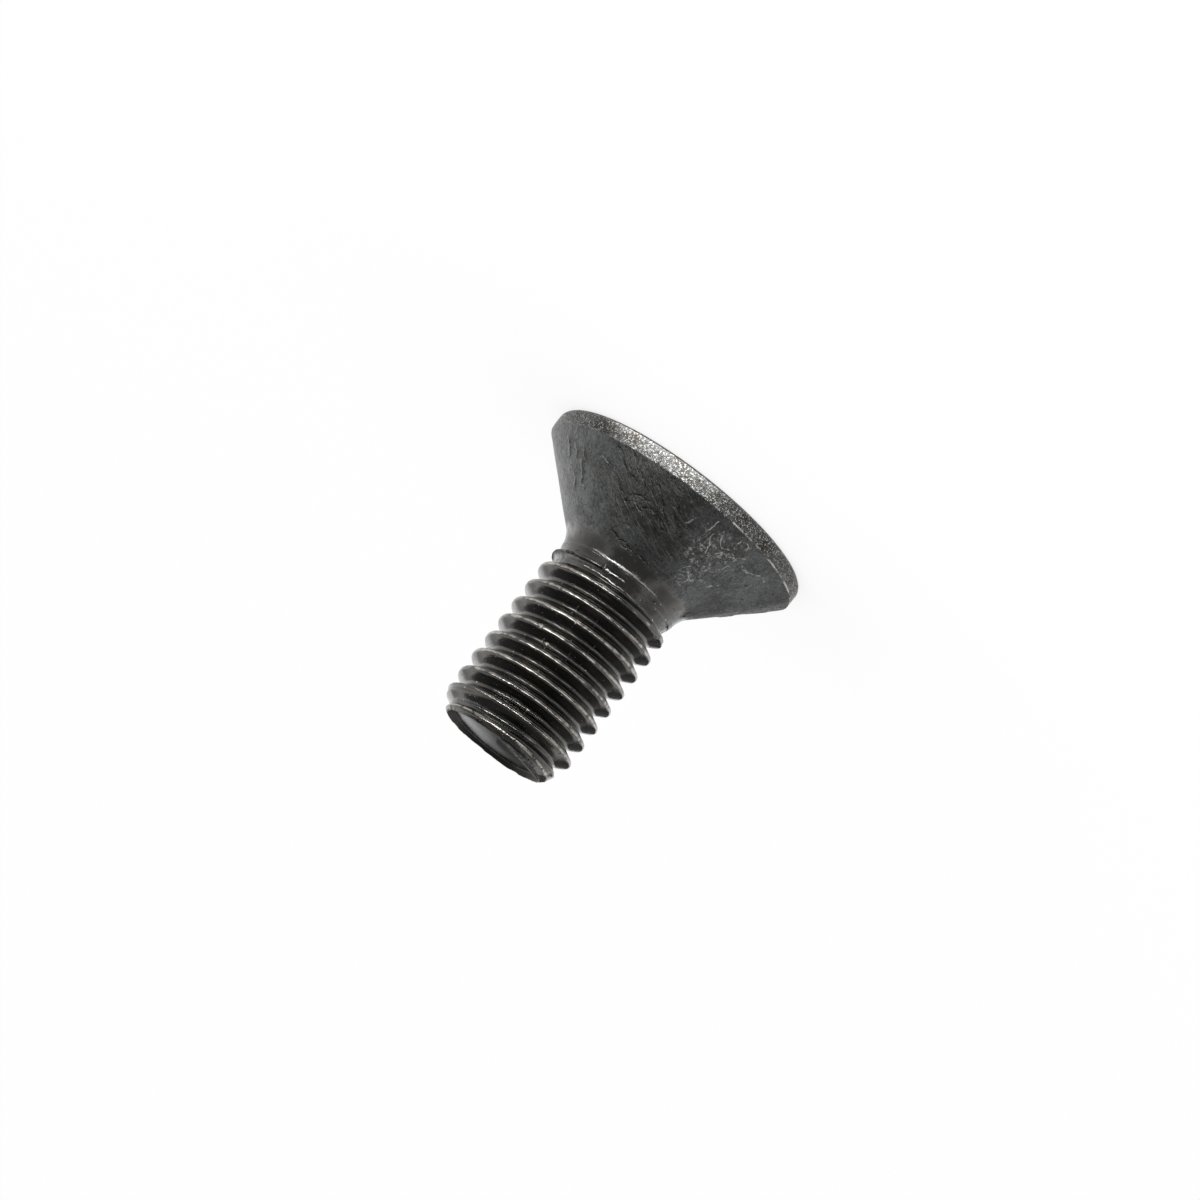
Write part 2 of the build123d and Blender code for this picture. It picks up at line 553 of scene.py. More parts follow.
raised_laps = [
    [(58, 3.05), (57.5, 3.5), (57.5, 3.85), (59, 4.1), (56.5, 4.25)],
    [(63, 2.4), (62, 2.6), (62.5, 2.85)],
    [(70, 2.1), (69, 2.5), (70, 2.8)],
    [(56, 2.6), (55.5, 2.85)],
    [(42.5, 2.5), (40.5, 2.65)],
    [(66, 3.7), (65, 4.0), (66, 4.3)],
]
flow_folds = [
    [(34.5, 1.6), (32, 1.85), (30.5, 2.15), (29, 2.45), (26, 2.6), (21, 2.75)],
    [(22.5, 2.15), (19, 2.45), (16.5, 2.9), (15, 3.4)],
    [(17, 2.2), (13, 2.7), (9, 3.2), (4, 3.7), (0, 4.1)],
    [(13, 2.1), (9, 2.6), (5, 3.1), (1, 3.6)],
    [(22, 3.5), (18, 3.3), (13, 3.25)],
    [(14, 3.8), (11, 3.6), (7, 3.55)],
    [(24, 3.9), (19, 3.75), (15, 3.9)],
    [(34, 3.2), (31, 3.4), (28, 3.6)],
    [(26, 5.75), (20, 5.9), (15, 5.85)],
    [(11, 6.0), (4, 6.1)],
    [(16, 6.15), (8, 6.25)],
    [(-1, 6.0), (-9, 6.15)],
]
dried_traces = [
    [(-30.5, 2.15), (-30.5, 1.7), (-33, 1.55), (-35, 1.65), (-35, 1.9)],
    [(-22.5, 2.1), (-24, 2.45), (-27, 2.65), (-29.5, 2.8), (-31, 3.05), (-32, 3.3)],
    [(-29, 2.75), (-29.5, 3.2), (-31, 3.6), (-33.5, 3.85), (-35, 4.2), (-37, 4.5), (-39, 4.75)],
    [(-38.5, 2.3), (-36, 2.55), (-33, 2.75)],
    [(-37, 2.6), (-38, 3.05), (-39.5, 3.5)],
    [(-43, 2.6), (-47, 2.62), (-49.5, 2.35), (-54, 2.15), (-58, 2.25)],
    [(-20.5, 2.6), (-22.5, 2.9), (-24, 3.3), (-26, 3.5)],
    [(-17, 1.9), (-17, 2.5)],
    [(-9, 2.6), (-7.5, 3.0)],
    [(-49, 4.3), (-47.5, 4.6), (-46, 4.95)],
    [(-27, 4.75), (-26, 4.95)],
    [(-31, 4.95), (-34, 5.2), (-37, 5.2), (-40, 5.0)],
    [(-33, 5.65), (-35.5, 5.4), (-38, 4.9), (-36, 4.4)],
]
lap_gap = keep_field("laps", raised_laps)
fold_gap = keep_field("folds", flow_folds)
keep_field("traces", dried_traces)
push += 0.050 * np.exp(-(lap_gap / 0.13) ** 2)
push -= 0.020 * np.exp(-(fold_gap / 0.12) ** 2)
print("head marks:", len(raised_laps), "laps,", len(flow_folds), "folds,",
      len(dried_traces), "traces")

# %% [markdown]
# ## Marks on the thread
#
# Rolling starts at a small step, where the neck drops to the size of the bare wire. The crests
# are where the metal rises last, so they are a little uneven all along, most on the first
# turn, and they are the first to be bruised.

# %% Press the thread's marks
thread_mask = smooth_switch(z, thread_start, thread_start + 0.5)
thread_mask *= smooth_switch(-z, -length, 0.3 - length)
crest_mask = thread_mask * smooth_switch(from_axis, crest_r - 0.22, crest_r - 0.02)
first_mask = smooth_switch(z, thread_start - 0.1, thread_start + 0.3)
first_mask *= smooth_switch(-z, -9.6, -9.0) * smooth_switch(from_axis, 4.1, 4.3)
push += 0.016 * lumps(0.4, 5, crest_mask) + 0.012 * lumps(1.4, 6, thread_mask)
push += 0.030 * lumps(0.35, 7, first_mask)

NECK_HEIGHTS = (7.26, 7.40, 7.66, 7.78, 8.05, 8.45, 8.8)
NECK_DROPS = (0, 0.012, -0.065, -0.105, -0.13, -0.13, 0)
neck_mask = smooth_switch(-from_axis, -4.72, -4.64) * (from_axis > 4.05)
push += np.interp(z, NECK_HEIGHTS, NECK_DROPS) * neck_mask

press_dent(on_surface(30, 13.62, crest_r), 0.20, -0.12)
press_dent(on_surface(26, 13.74, crest_r - 0.15), 0.12, 0.05)
for degrees, height, width, lift in (
        (18, 14.43, 0.13, 0.09), (-4, 18.85, 0.07, 0.06), (26, 11.39, 0.12, 0.05),
        (-33, 14.9, 0.12, -0.07), (-38, 14.7, 0.10, 0.05), (-27, 18.3, 0.09, -0.06),
        (140, 12.9, 0.2, -0.09), (-112, 16.3, 0.18, -0.08), (171, 18.4, 0.15, -0.07)):
    press_dent(on_thread(degrees, height), width, lift)
print("thread marks: pushes from", round(push.min(), 3), "to", round(push.max(), 3), "mm")

# %% [markdown]
# ## The lip
#
# The wire was cut off slightly slanted, so the lip leans, and its edge is ragged, while the
# hollow's floor stays level. These moves go along the axis, so they are kept apart from the
# pushes. With them done, the mesh shrinks to metres and is smooth-shaded except across real
# edges, such as the socket's.

# %% Lean the lip, then finish the mesh
LEAN_SLOPE = 0.0527                    # the lip rises this much for each mm towards -Y
SHARP_EDGE = math.radians(55)

lip_mask = smooth_switch(z, length - 1.2, length - 0.1)
in_hollow = (z > length - 1) & (z < length - 0.06) & (from_axis < tip_r - 0.05)
floor_still = np.where(in_hollow, np.clip((z - length) / 0.31 + 1, 0, 1), 1)
lean = (0.03 - LEAN_SLOPE * y) * lip_mask * floor_still
edge_mask = lip_mask * smooth_switch(from_axis, 2.6, 3.4) * floor_still
ragged = 0.05 * lumps(0.9, 8, edge_mask) + 0.022 * lumps(0.22, 9, edge_mask)
push += 0.015 * lumps(0.5, 10, edge_mask)

points += normals * push[:, None]
points[:, 2] += lean + ragged
mesh.vertices.foreach_set("co", points.ravel())
mesh.update()
mesh.transform(Matrix.Scale(MM, 4))
mesh.shade_smooth()
mesh.set_sharp_from_angle(angle=SHARP_EDGE)
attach(screw, "root")
print("lip from", round((lean + ragged).min(), 2), "to", round((lean + ragged).max(), 2), "mm")

# %% [markdown]
# ## Building materials from nodes
#
# A material is a small network. One helper adds a node and links what it is given; others
# start a material, with its shader, or do sums. Patterns read Object coordinates, which a
# Mapping node turns into millimetres, so that a scale of 6 means six grains in a millimetre.


# %% Node helpers
def add_node(tree, kind, inputs=None, **settings):
    """Adds a node; inputs are values or sockets to link, settings are its own options."""
    node = tree.nodes.new("ShaderNode" + kind)
    for name, value in settings.items():
        setattr(node, name, value)
    for name, value in (inputs or {}).items():
        if isinstance(value, bpy.types.NodeSocket):
            tree.links.new(value, node.inputs[name])
        else:
            node.inputs[name].default_value = value
    return node


def blank_material(name):
    """A material and its network, emptied."""
    material = bpy.data.materials.new(name)
    material.use_nodes = True
    material.node_tree.nodes.clear()
    return material, material.node_tree


def new_metal(name):
    """A metal with its shader, and the surface's position in millimetres."""
    material, tree = blank_material(name)
    shader = add_node(tree, "BsdfPrincipled", {"Metallic": 1.0})
    add_node(tree, "OutputMaterial", {"Surface": shader.outputs[0]})
    coordinates = add_node(tree, "TexCoord").outputs["Object"]
    position = add_node(tree, "Mapping", {"Vector": coordinates, "Scale": (1 / MM, 1 / MM, 1 / MM)})
    return material, tree, shader, position.outputs[0]


def link_finish(tree, shader, **finish):
    """Links the varying parts of a finish to the shader, by their names."""
    for name, socket in finish.items():
        tree.links.new(socket, shader.inputs[name.replace("_", " ")])


def math_node(tree, operation, *values):
    return add_node(tree, "Math", dict(enumerate(values)), operation=operation).outputs[0]


def combined(tree, operation, values):
    """All the values put together by one operation, two at a time."""
    made = values[0]
    for value in values[1:]:
        made = math_node(tree, operation, made, value)
    return made


def product(tree, *values):
    return combined(tree, "MULTIPLY", values)


def highest(tree, *values):
    return combined(tree, "MAXIMUM", values)


def parts_of(tree, vector):
    """X, Y and Z of a vector, each as a socket."""
    return add_node(tree, "SeparateXYZ", {0: vector}).outputs


def vector_node(tree, operation, *values):
    made = add_node(tree, "VectorMath", dict(enumerate(values)), operation=operation)
    return made.outputs["Value" if operation in ("DOT_PRODUCT", "DISTANCE") else "Vector"]


def noise_node(tree, vector, scale, detail=2.0, distortion=0.0, roughness=0.5):
    return add_node(tree, "TexNoise", {"Vector": vector, "Scale": scale, "Detail": detail,
                                       "Distortion": distortion, "Roughness": roughness}).outputs[0]


def ramp(tree, value, start, end, low=0.0, high=1.0):
    """Maps start..end to low..high, smoothly, and holds outside."""
    limits = {"From Min": start, "From Max": end, "To Min": low, "To Max": high}
    return add_node(tree, "MapRange", {"Value": value, **limits},
                    interpolation_type="SMOOTHSTEP").outputs[0]


def mix(tree, share, first, second):
    return add_node(tree, "Mix", {0: share, 2: first, 3: second}).outputs[0]


def mix_color(tree, share, first, second):
    return add_node(tree, "Mix", {0: share, 6: first, 7: second}, data_type="RGBA").outputs[2]


def bump(tree, height, amplitude, normal=None):
    """A bump whose height from 0 to 1 stands for this many millimetres."""
    inputs = {"Height": height, "Strength": 1.0, "Distance": amplitude * MM}
    if normal is not None:
        inputs["Normal"] = normal
    return add_node(tree, "Bump", inputs).outputs[0]


# %% [markdown]
# ## Drawing with nodes
#
# Marks need a place. The first helper gives 1 near a point and fades to 0 at a distance. The
# second draws the lines of a field kept in the mesh: the side changes sign across a line, so
# it stays sharp between the mesh's points, and the gap keeps the line from running on past
# its ends. A little noise on the side makes the line wander. The third stretches a pattern
# along chosen directions, and the last finds lines in a noise, where it crosses its middle.


# %% Drawing helpers
def near_point(tree, position, centre, reach):
    return ramp(tree, vector_node(tree, "DISTANCE", position, centre), 0.4 * reach, reach, 1.0, 0.0)


def field_lines(tree, name, wander, width):
    """1 along the lines of a field, 0 half a width away."""
    field = add_node(tree, "Attribute", attribute_name=name).outputs["Vector"]
    side, gap, _ = parts_of(tree, field)
    side = math_node(tree, "MULTIPLY_ADD", math_node(tree, "SUBTRACT", wander, 0.5), 0.6, side)
    across = ramp(tree, math_node(tree, "ABSOLUTE", side), 0.0, width / 2, 1.0, 0.0)
    return product(tree, across, ramp(tree, gap, 0.16, 0.26, 1.0, 0.0))


def stretched(tree, position, *directions):
    """Coordinates along three directions; a short one stretches the pattern."""
    parts = [vector_node(tree, "DOT_PRODUCT", position, direction) for direction in directions]
    return add_node(tree, "CombineXYZ", dict(enumerate(parts))).outputs[0]


def thin_lines(tree, pattern, width):
    off_middle = math_node(tree, "ABSOLUTE", math_node(tree, "SUBTRACT", pattern, 0.5))
    return ramp(tree, off_middle, 0.0, width, 1.0, 0.0)


# %% [markdown]
# ## Oiled, rolled steel
#
# Rolling burnishes the steel, and oil stays in every groove, so thread and neck are glossy and
# nearly black, with a brown tinge. Faint rings run round, and a fine wavy ridge shows where
# the rolling dies first touched. This finish begins in the hollow of the neck, where the forged
# finish ends in an uneven line. Both materials use this one helper, so that they meet without
# a seam.

# %% Oiled finish
BLACK = (0.090, 0.091, 0.088, 1)
BLACK_BROWN = (0.112, 0.107, 0.100, 1)
# Painted shade, near black, for pits and for the hollows between the rim's grains.
PAINTED_PIT_SHADE = (0.012, 0.011, 0.010, 1)
ridge_height, ridge_wave = 7.365, 0.35


def oiled_finish(tree, position):
    """Color, roughness and bump height of the oiled steel, with the ridge round the neck."""
    up = parts_of(tree, position)[2]
    cloud = noise_node(tree, position, 0.8, 3)
    grain = noise_node(tree, position, 6.0, 3)
    pits = ramp(tree, noise_node(tree, position, 3.6, 2, roughness=0.7), 0.66, 0.70)
    color = mix_color(tree, ramp(tree, cloud, 0.35, 0.65), BLACK, BLACK_BROWN)
    # Painted shade: the pits are coloured near black, as well as sunk by the bump.
    color = mix_color(tree, pits, color, PAINTED_PIT_SHADE)
    roughness = ramp(tree, noise_node(tree, position, 2.0, 3), 0.35, 0.7, 0.11, 0.20)
    height = math_node(tree, "SUBTRACT", product(tree, grain, 0.3), pits)
    lowest = -ridge_height - ridge_wave / 2
    wave = math_node(tree, "MULTIPLY_ADD", noise_node(tree, position, 0.3, 2), ridge_wave, lowest)
    off_ridge = math_node(tree, "ABSOLUTE", math_node(tree, "ADD", wave, up))
    ridge = ramp(tree, off_ridge, 0.0, 0.05, 1.0, 0.0)
    rings = noise_node(tree, vector_node(tree, "MULTIPLY", position, (0.5, 0.5, 9.0)), 1.0, 3)
    height = math_node(tree, "MULTIPLY_ADD", rings, 0.30, height)
    return color, roughness, math_node(tree, "MULTIPLY_ADD", ridge, 0.5, height)


# %% [markdown]
# ## Finish of the forged seat
#
# Black oxide on a forging is a satin dark grey, neither even nor quite black. The colour
# varies softly and fine grain breaks the shine. Across one patch the metal flowed in strands
# like a feather, sunk between and rubbed lighter on top: the grooves between get painted
# shade, and a line beside each groove a painted highlight. The folds and pits get the same
# painted shade, and the raised laps a painted highlight along them. Beside the patch lie pale
# dried traces of salt and handling, which are powder and not metal.

# %% Forged seat
OXIDE = (0.124, 0.130, 0.127, 1)
OXIDE_DARK = (0.070, 0.072, 0.069, 1)
# Painted shade for the grooves, folds and pits, then a rubbed colour that is also a painted
# highlight.
PAINTED_CREASE_SHADE = (0.018, 0.017, 0.015, 1)
RUBBED_AND_HIGHLIGHT = (0.24, 0.235, 0.215, 1)
TRACE = (0.23, 0.225, 0.215, 1)


def forged_seat():
    material, tree, shader, position = new_metal("forged_seat")
    back_turn = (0, 0, -math.radians(BACK_TURN))
    turned = add_node(tree, "Mapping", {"Vector": position, "Rotation": back_turn})
    behind = math_node(tree, "GREATER_THAN", parts_of(tree, position)[1], 0.0)
    marked = add_node(tree, "Mix", {0: behind, 4: position, 5: turned.outputs[0]},
                      data_type="VECTOR").outputs[1]

    grain = noise_node(tree, position, 4.2, 4, distortion=0.5, roughness=0.65)
    mottle = noise_node(tree, position, 0.6, 6, roughness=0.6)
    speckle = noise_node(tree, position, 3.3, 3)
    broken = ramp(tree, speckle, 0.36, 0.50)
    wander = noise_node(tree, position, 1.6, 3)

    lower_patch = near_point(tree, marked, on_seat(-2, 4.9), 2.6)
    patch = highest(tree, near_point(tree, marked, on_seat(14, 3.2), 4.9),
                    product(tree, lower_patch, 0.7))
    strand_space = stretched(tree, marked, (-0.50, 0.09, 0.25), (1.6, 2.9, 2.2),
                             (0.24, -0.66, 0.71))
    strands = noise_node(tree, strand_space, 0.70, 5, distortion=1.3, roughness=0.6)
    # The grooves between the strands get painted shade, and a line beside each groove a painted
    # highlight.
    shaded_grooves = product(tree, thin_lines(tree, strands, 0.045), patch)
    beside = math_node(tree, "SUBTRACT", strands, 0.065)
    highlit_tops = product(tree, thin_lines(tree, beside, 0.040), patch)
    folds = product(tree, field_lines(tree, "folds", wander, 0.24), broken)
    laps = field_lines(tree, "laps", wander, 0.26)

    haze_area = highest(tree, near_point(tree, marked, on_seat(-29, 3.4), 2.9),
                        near_point(tree, marked, on_seat(-36, 5.1), 1.5))
    haze = ramp(tree, noise_node(tree, marked, 2.4, 5, distortion=1.4, roughness=0.66), 0.46, 0.68)
    haze = product(tree, haze, haze_area, ramp(tree, speckle, 0.40, 0.58))
    patchy = ramp(tree, noise_node(tree, position, 2.6, 4, roughness=0.6), 0.42, 0.57)
    traces = product(tree, field_lines(tree, "traces", wander, 0.18), patchy)
    sparks = ramp(tree, noise_node(tree, position, 5.0, 2), 0.70, 0.75, 0.0, 0.6)
    traces = highest(tree, traces, haze, sparks)
    pits = ramp(tree, noise_node(tree, position, 2.7, 2, roughness=0.7), 0.67, 0.71)

    shade = math_node(tree, "MULTIPLY_ADD", mottle, 0.55, product(tree, grain, 0.45))
    color = mix_color(tree, ramp(tree, shade, 0.42, 0.58), OXIDE_DARK, OXIDE)
    # Painted highlight beside each groove of the feather, in the colour of rubbed metal.
    color = mix_color(tree, product(tree, highlit_tops, 0.85), color, RUBBED_AND_HIGHLIGHT)
    # Painted shade in the grooves, folds and pits, which the bump also sinks.
    shaded_creases = highest(tree, shaded_grooves, folds, pits)
    color = mix_color(tree, product(tree, shaded_creases, 0.85), color, PAINTED_CREASE_SHADE)
    # Painted highlight along the raised laps.
    color = mix_color(tree, product(tree, laps, 0.55), color, RUBBED_AND_HIGHLIGHT)
    color = mix_color(tree, traces, color, TRACE)
    roughness = ramp(tree, speckle, 0.3, 0.7, 0.30, 0.44)
    relief = math_node(tree, "MULTIPLY_ADD", grain, 0.8, product(tree, shaded_creases, -0.8))
    relief = math_node(tree, "MULTIPLY_ADD", laps, 0.7, relief)
    relief = math_node(tree, "MULTIPLY_ADD", traces, 0.3, relief)

    oiled_color, oiled_roughness, oiled_height = oiled_finish(tree, position)
    height = parts_of(tree, position)[2]
    uneven = math_node(tree, "MULTIPLY_ADD", noise_node(tree, position, 1.3, 5), 1.0, height)
    oiled = ramp(tree, uneven, 6.40, 7.00)
    color = mix_color(tree, oiled, color, oiled_color)
    roughness = mix(tree, oiled, roughness, oiled_roughness)
    relief = mix(tree, oiled, product(tree, relief, 0.09), product(tree, oiled_height, 0.02))
    powder = product(tree, traces, math_node(tree, "SUBTRACT", 1.0, oiled))
    link_finish(tree, shader, Base_Color=color, Roughness=roughness,
                Metallic=math_node(tree, "SUBTRACT", 1.0, powder), Normal=bump(tree, relief, 1.0))
    return material


# %% [markdown]
# ## Finish of the rim
#
# The rim formed free, so it is granular. Its raised grains are coloured bright, partly as
# rubbed-off crust and partly as a painted highlight, and the hollows between them are painted
# brown-black as shade. Its corner with the seat is worn to a thin bright line, mostly on one
# side, where the screw has lain against others.

# %% Rim band
def rim_band():
    material, tree, shader, position = new_metal("rim_band")
    grains = noise_node(tree, position, 7.5, 3, roughness=0.7)
    brown = ramp(tree, noise_node(tree, position, 0.45, 3), 0.45, 0.65)
    sideways, _, height = parts_of(tree, position)
    off_corner = math_node(tree, "SUBTRACT", height, rim_height - 0.03)
    at_corner = ramp(tree, math_node(tree, "ABSOLUTE", off_corner), 0.02, 0.09, 1.0, 0.0)
    broken = ramp(tree, noise_node(tree, position, 0.8, 4), 0.42, 0.56)
    worn = product(tree, at_corner, broken, ramp(tree, sideways, -3.5, -1.5, 1.0, 0.12))
    color = mix_color(tree, brown, (0.085, 0.086, 0.083, 1), (0.050, 0.042, 0.034, 1))
    # Raised grains coloured bright, as rubbed-off crust and as a painted highlight; then painted
    # shade in the hollows between them.
    color = mix_color(tree, ramp(tree, grains, 0.52, 0.62), color, (0.34, 0.34, 0.33, 1))
    color = mix_color(tree, ramp(tree, grains, 0.33, 0.42, 1.0, 0.0), color, PAINTED_PIT_SHADE)
    color = mix_color(tree, worn, color, (0.55, 0.54, 0.51, 1))
    roughness = ramp(tree, grains, 0.35, 0.65, 0.42, 0.26)
    normal = bump(tree, grains, 0.09)
    normal = bump(tree, noise_node(tree, position, 1.8, 2), 0.03, normal)
    link_finish(tree, shader, Base_Color=color, Roughness=roughness, Normal=normal)
    return material


# %% [markdown]
# ## Finish of the rolled thread
#
# The thread is oiled steel with two things more. Fine streaks follow the helix, so they are
# drawn in coordinates of the screw: a point's direction from the axis, and its distance along
# the axis from the groove below it, which is its height less what the helix has climbed there.
# And along the very top of the crests the black is worn through to warm bare steel, with a few
# brighter nicks.

# %% Rolled thread
BARE_STEEL = (0.42, 0.39, 0.35, 1)
NICK = (0.90, 0.86, 0.80, 1)
NICKS = ((30, 13.66, 0.30), (18, 14.43, 0.17), (-4, 18.85, 0.11))    # angle, height, reach


def rolled_thread():
    material, tree, shader, position = new_metal("rolled_thread")
    side, back, up = parts_of(tree, position)
    flat = vector_node(tree, "MULTIPLY", position, (1, 1, 0))
    surface_r = vector_node(tree, "DISTANCE", flat, (0, 0, 0))
    climbed = math_node(tree, "DIVIDE", math_node(tree, "ARCTAN2", back, side), math.tau)
    turns_up = math_node(tree, "SUBTRACT", up, first_crest - pitch / 2)
    turns_up = math_node(tree, "DIVIDE", turns_up, pitch)
    share = math_node(tree, "FRACT", math_node(tree, "SUBTRACT", turns_up, climbed))
    outward = vector_node(tree, "DIVIDE", flat, surface_r)
    along = vector_node(tree, "MULTIPLY", outward, (2.2, 2.2, 0))
    streak_space = vector_node(tree, "MULTIPLY_ADD", share, (0, 0, 13.0), along)
    streaks = noise_node(tree, streak_space, 1.0, 4)

    color, roughness, relief = oiled_finish(tree, position)
    chips = noise_node(tree, position, 2.4, 4, roughness=0.6)
    top = math_node(tree, "MULTIPLY_ADD", math_node(tree, "SUBTRACT", chips, 0.5), 0.06, surface_r)
    worn = ramp(tree, top, crest_r - 0.024, crest_r - 0.004)
    off_edge = math_node(tree, "ABSOLUTE", math_node(tree, "SUBTRACT", up, length - 0.17))
    chamfer_worn = product(tree, ramp(tree, off_edge, 0.05, 0.10, 1.0, 0.0),
                           ramp(tree, chips, 0.40, 0.50))
    worn = highest(tree, worn, chamfer_worn)
    flecks = ramp(tree, noise_node(tree, position, 3.4, 3, roughness=0.6), 0.70, 0.73)
    jitter = math_node(tree, "SUBTRACT", noise_node(tree, position, 5.0, 3), 0.5)
    ragged = vector_node(tree, "MULTIPLY_ADD", jitter, (1.1, -1.1, 1.1), position)
    nicks = highest(tree, *(near_point(tree, ragged, on_thread(degrees, height), reach)
                            for degrees, height, reach in NICKS))
    nicks = highest(tree, product(tree, nicks, 0.7), flecks)
    rubbed = product(tree, ramp(tree, streaks, 0.5, 0.7), 0.35)
    color = mix_color(tree, rubbed, color, (0.165, 0.155, 0.143, 1))
    color = mix_color(tree, worn, color, BARE_STEEL)
    roughness = mix(tree, worn, roughness, 0.21)
    color = mix_color(tree, nicks, color, NICK)
    roughness = mix(tree, nicks, roughness, 0.42)
    relief = math_node(tree, "MULTIPLY_ADD", streaks, 0.35, relief)
    link_finish(tree, shader, Base_Color=color, Roughness=roughness,
                Normal=bump(tree, relief, 0.02))
    return material


# %% [markdown]
# ## Finish of the end face and of the socket
#
# The end face is the sheared end of the wire, nearly smooth and lightly scratched across, with
# a dark dull wall round it. The socket is punched, with fine lines drawn along its walls.

# %% End face and socket
def tip_end():
    material, tree, shader, position = new_metal("tip_end")
    across = stretched(tree, position, (1.0, 0.3, 0.0), (-2.4, 8.0, 0.0), (0.0, 0.0, 1.0))
    scratches = noise_node(tree, across, 1.0, 3)
    flat = vector_node(tree, "MULTIPLY", position, (1, 1, 0))
    from_middle = vector_node(tree, "DISTANCE", flat, (0, 0, 0))
    wall = ramp(tree, from_middle, hollow_r - 0.4, hollow_r - 0.15)
    color = mix_color(tree, scratches, (0.10, 0.102, 0.10, 1), (0.14, 0.142, 0.14, 1))
    color = mix_color(tree, wall, color, (0.04, 0.038, 0.035, 1))
    roughness = mix(tree, wall, ramp(tree, scratches, 0.3, 0.7, 0.14, 0.20), 0.5)
    normal = bump(tree, scratches, 0.005)
    normal = bump(tree, noise_node(tree, position, 5.0, 3), 0.004, normal)
    link_finish(tree, shader, Base_Color=color, Roughness=roughness, Normal=normal)
    return material


def hex_socket():
    material, tree, shader, position = new_metal("hex_socket")
    drawn = stretched(tree, position, (9.0, 0.0, 0.0), (0.0, 9.0, 0.0), (0.0, 0.0, 0.6))
    lines = noise_node(tree, drawn, 1.0, 3)
    color = mix_color(tree, lines, OXIDE_DARK, (0.15, 0.152, 0.148, 1))
    link_finish(tree, shader, Base_Color=color, Roughness=ramp(tree, lines, 0.3, 0.7, 0.34, 0.46),
                Normal=bump(tree, lines, 0.01))
    return material


# %% [markdown]
# ## Which finish goes where
#
# Each face takes its finish from where it lies. The seat's and the thread's finishes meet on
# the neck, where both are the oiled one.

# %% Give each region its finish
FINISHES = (forged_seat, rim_band, rolled_thread, tip_end, hex_socket)
thread_finish_start = 7.3
for make_finish in FINISHES:
    mesh.materials.append(make_finish())


def finish_of(face):
    spot = face.center / MM
    spot_r = math.hypot(spot.x, spot.y)
    if spot_r < mouth_r + 0.01 and spot.z < socket_depth + 1:
        return hex_socket
    if spot_r < hollow_edge_r(math.atan2(spot.y, spot.x)) and spot.z > length - 1:
        return tip_end
    if spot.z > thread_finish_start:
        return rolled_thread
    return forged_seat if spot.z > rim_height + 0.05 or spot.z < 0.01 else rim_band


for face in mesh.polygons:
    face.material_index = FINISHES.index(finish_of(face))
print("materials:", [material.name for material in mesh.materials])

# %% [markdown]
# ## Floor and world
#
# The floor is large and pale, and for the camera and for mirrored rays most of its white is a
# steady glow, so that it reads as a white sweep. The rest is lit, which keeps a soft
# shadow. The world is plain white all round.

# %% Floor and world
floor_bm = bmesh.new()
bmesh.ops.create_grid(floor_bm, x_segments=1, y_segments=1, size=4)
floor = object_from("floor", floor_bm)

material, tree = blank_material("white_floor")
lit = add_node(tree, "BsdfDiffuse", {"Color": (0.95, 0.95, 0.95, 1)})
glow = add_node(tree, "Emission", {"Color": (1, 1, 1, 1), "Strength": 1.0})
ray = add_node(tree, "LightPath").outputs
seen = highest(tree, ray["Is Camera Ray"], ray["Is Glossy Ray"], ray["Is Transmission Ray"])
share = product(tree, seen, 0.8)
both = add_node(tree, "MixShader", {0: share, 1: lit.outputs[0], 2: glow.outputs[0]})
add_node(tree, "OutputMaterial", {"Surface": both.outputs[0]})
floor.data.materials.append(material)

world = bpy.data.worlds.new("white_room")
bpy.context.scene.world = world
world.use_nodes = True
background = world.node_tree.nodes["Background"].inputs
background["Color"].default_value = (1, 1, 1, 1)
background["Strength"].default_value = 1.0
print("floor", round(floor.dimensions.x, 1), "m wide")

# %% [markdown]
# ## What the metal mirrors
#
# Black metal shows hardly anything but what it mirrors. In a plain white room it would look
# flat and grey, so small shiny things are shown in a tent of white cloth, open towards a
# darker room where the camera stands, with a dark card lying in front. Both are seen only in
# reflections. The tent's brightness is drawn by direction: dark grey in front, brightest behind
# and towards +X, with a bright band down either side, a dark strip overhead, and a dim patch
# low behind towards -X. The card is dark near the camera, and one short arc of it glows, close
# to the head, which lights the grains on a stretch of the rim.


# %% Tent and card, for reflections only
def reflection_only(name, bm):
    """A stage object that only mirrored rays see, and the start of its glow material."""
    made = object_from(name, bm)
    made.visible_camera = made.visible_diffuse = False
    made.visible_transmission = made.visible_shadow = False
    material, tree = blank_material(name)
    glow = add_node(tree, "Emission", {"Color": (1, 1, 1, 1)})
    add_node(tree, "OutputMaterial", {"Surface": glow.outputs[0]})
    made.data.materials.append(material)
    place = add_node(tree, "TexCoord").outputs["Object"]
    return tree, glow, place


def darkened(tree, level, share, *areas):
    """Takes this share of the brightness away where all the areas overlap."""
    kept = math_node(tree, "MULTIPLY_ADD", product(tree, *areas), -share, 1.0)
    return product(tree, level, kept)


